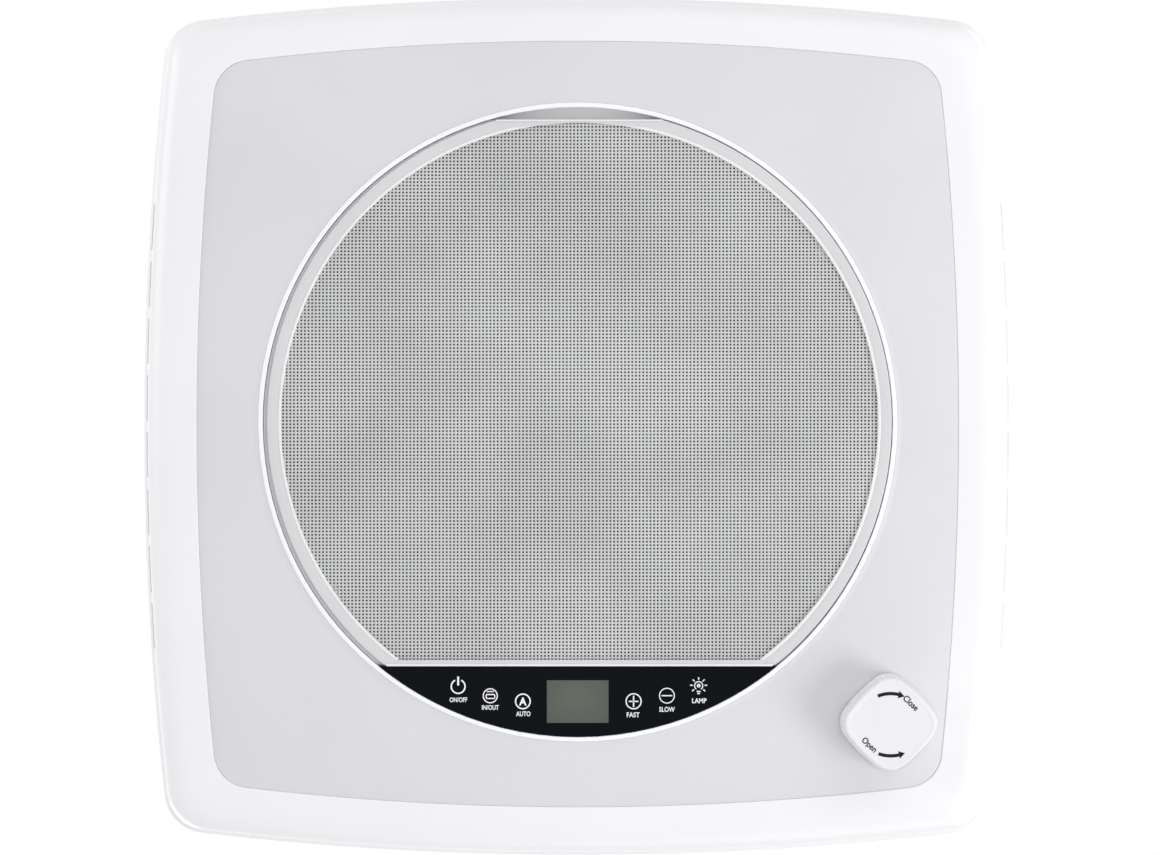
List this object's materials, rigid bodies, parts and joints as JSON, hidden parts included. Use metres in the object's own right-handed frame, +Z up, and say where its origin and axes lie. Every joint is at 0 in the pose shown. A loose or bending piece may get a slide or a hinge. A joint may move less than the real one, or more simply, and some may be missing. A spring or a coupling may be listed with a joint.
{
  "type": "roof hatch fan",
  "caption": "Square roof vent with a hinged weather lid, a fan in a round duct, a removable insect screen, and a ceiling trim with a touch control strip and a lid crank.",
  "frame": {"origin": "on the fan axis, level with the roof's outer surface: the centre of the roof screw pattern on the gasket's underside", "axes": "+Z points up to the sky, +Y to the side of the lid hinge, -Y to the side of the control strip"},
  "size_m": [0.436, 0.4309, 0.1822],
  "materials": {
    "white_gloss": "satin gloss moulding",
    "panel_grey": "matt, fine grain",
    "white_matte": "matt weatherproof moulding",
    "smoke_plastic": "dark smoke, weatherproof moulding",
    "black_plastic": "matt black moulding",
    "black_glass": "gloss black, printed behind",
    "motor_paint": "black paint",
    "iron": "dull",
    "steel": "zinc plated",
    "track_aluminium": "drawn",
    "rubber": "matt black",
    "nylon": "natural nylon",
    "lamp_opal": "opal diffuser",
    "board_green": "solder mask",
    "board_white": "white solder mask",
    "display_grey": "unlit display",
    "net_grey": "coated glass fibre"
  },
  "bodies": {
    "root": {"base_frame": "white_matte", "roof_gasket": "rubber", "coaming_seal": "rubber", "hinge_brackets": "white_matte", "hinge_screws": "steel", "hinge_pins": "steel", "fan_shroud": "black_plastic", "shroud_screws": "steel", "motor_bracket": "motor_paint", "bracket_screws": "steel", "motor_can": "motor_paint", "motor_magnets": "iron", "motor_end_bell": "motor_paint", "motor_bearings": "steel", "motor_screws": "steel", "terminal_block": "nylon", "corner_gearbox": "black_plastic", "gearbox_screws": "steel", "lift_bracket": "black_plastic", "lift_bracket_screws": "steel", "crank_bushing": "nylon", "trim": "white_gloss", "trim_screws": "steel", "face_panel": "panel_grey", "lamp_lens_left": "lamp_opal", "lamp_lens_right": "lamp_opal", "lamp_board_left": "board_white", "lamp_board_right": "board_white", "control_housing": "black_plastic", "circuit_board": "board_green", "display": "display_grey", "control_glass": "black_glass"},
    "lid": {"lid": "smoke_plastic", "lid_track": "track_aluminium", "track_screws": "steel"},
    "fan": {"fan_shaft": "steel", "armature": "iron", "impeller": "black_plastic", "impeller_nut": "black_plastic"},
    "arm": {"lift_arm": "steel", "worm_wheel": "nylon", "arm_shaft": "steel", "shoe_pin": "steel"},
    "shoe": {"slide_shoe": "nylon"},
    "rod": {"drive_rod": "steel", "rod_bevel": "nylon", "worm": "nylon"},
    "crank": {"crank_shaft": "steel", "crank_bevel": "nylon", "crank_knob": "white_gloss"},
    "screen": {"screen_frame": "white_gloss", "screen_net": "net_grey"}
  },
  "joints": [
    {"name": "lid_hinge", "type": "hinge", "parent": "root", "child": "lid", "pos_m": [0, 0.192, 0.06], "axis": [-1, 0, 0], "range_deg": [0, 50]},
    {"name": "arm_pivot", "type": "hinge", "parent": "root", "child": "arm", "pos_m": [0, 0.02951, 0.03135], "axis": [-1, 0, 0], "range_deg": [0, 100]},
    {"name": "shoe_pivot", "type": "hinge", "parent": "arm", "child": "shoe", "pos_m": [0, -0.13299, 0.06], "axis": [-1, 0, 0], "range_deg": [-50, 0]},
    {"name": "rod_spin", "type": "hinge", "parent": "root", "child": "rod", "pos_m": [-0.1555, 0, 0.01085], "axis": [0, 1, 0], "range_deg": [-2400, 0]},
    {"name": "crank_spin", "type": "hinge", "parent": "root", "child": "crank", "pos_m": [-0.1555, -0.15, 0], "axis": [0, 0, 1], "range_deg": [-2400, 0]},
    {"name": "fan_spin", "type": "hinge", "parent": "root", "child": "fan", "pos_m": [0, 0, 0], "axis": [0, 0, 1], "continuous": true},
    {"name": "screen_slide", "type": "slide", "parent": "root", "child": "screen", "axis": [0, 0, -1], "range_m": [0, 0.023]}
  ],
  "couplings": [
    {"joint": "arm_pivot", "follows": "lid_hinge", "ratio": 2},
    {"joint": "shoe_pivot", "follows": "lid_hinge", "ratio": -1},
    {"joint": "rod_spin", "follows": "lid_hinge", "ratio": -48},
    {"joint": "crank_spin", "follows": "lid_hinge", "ratio": -48}
  ]
}
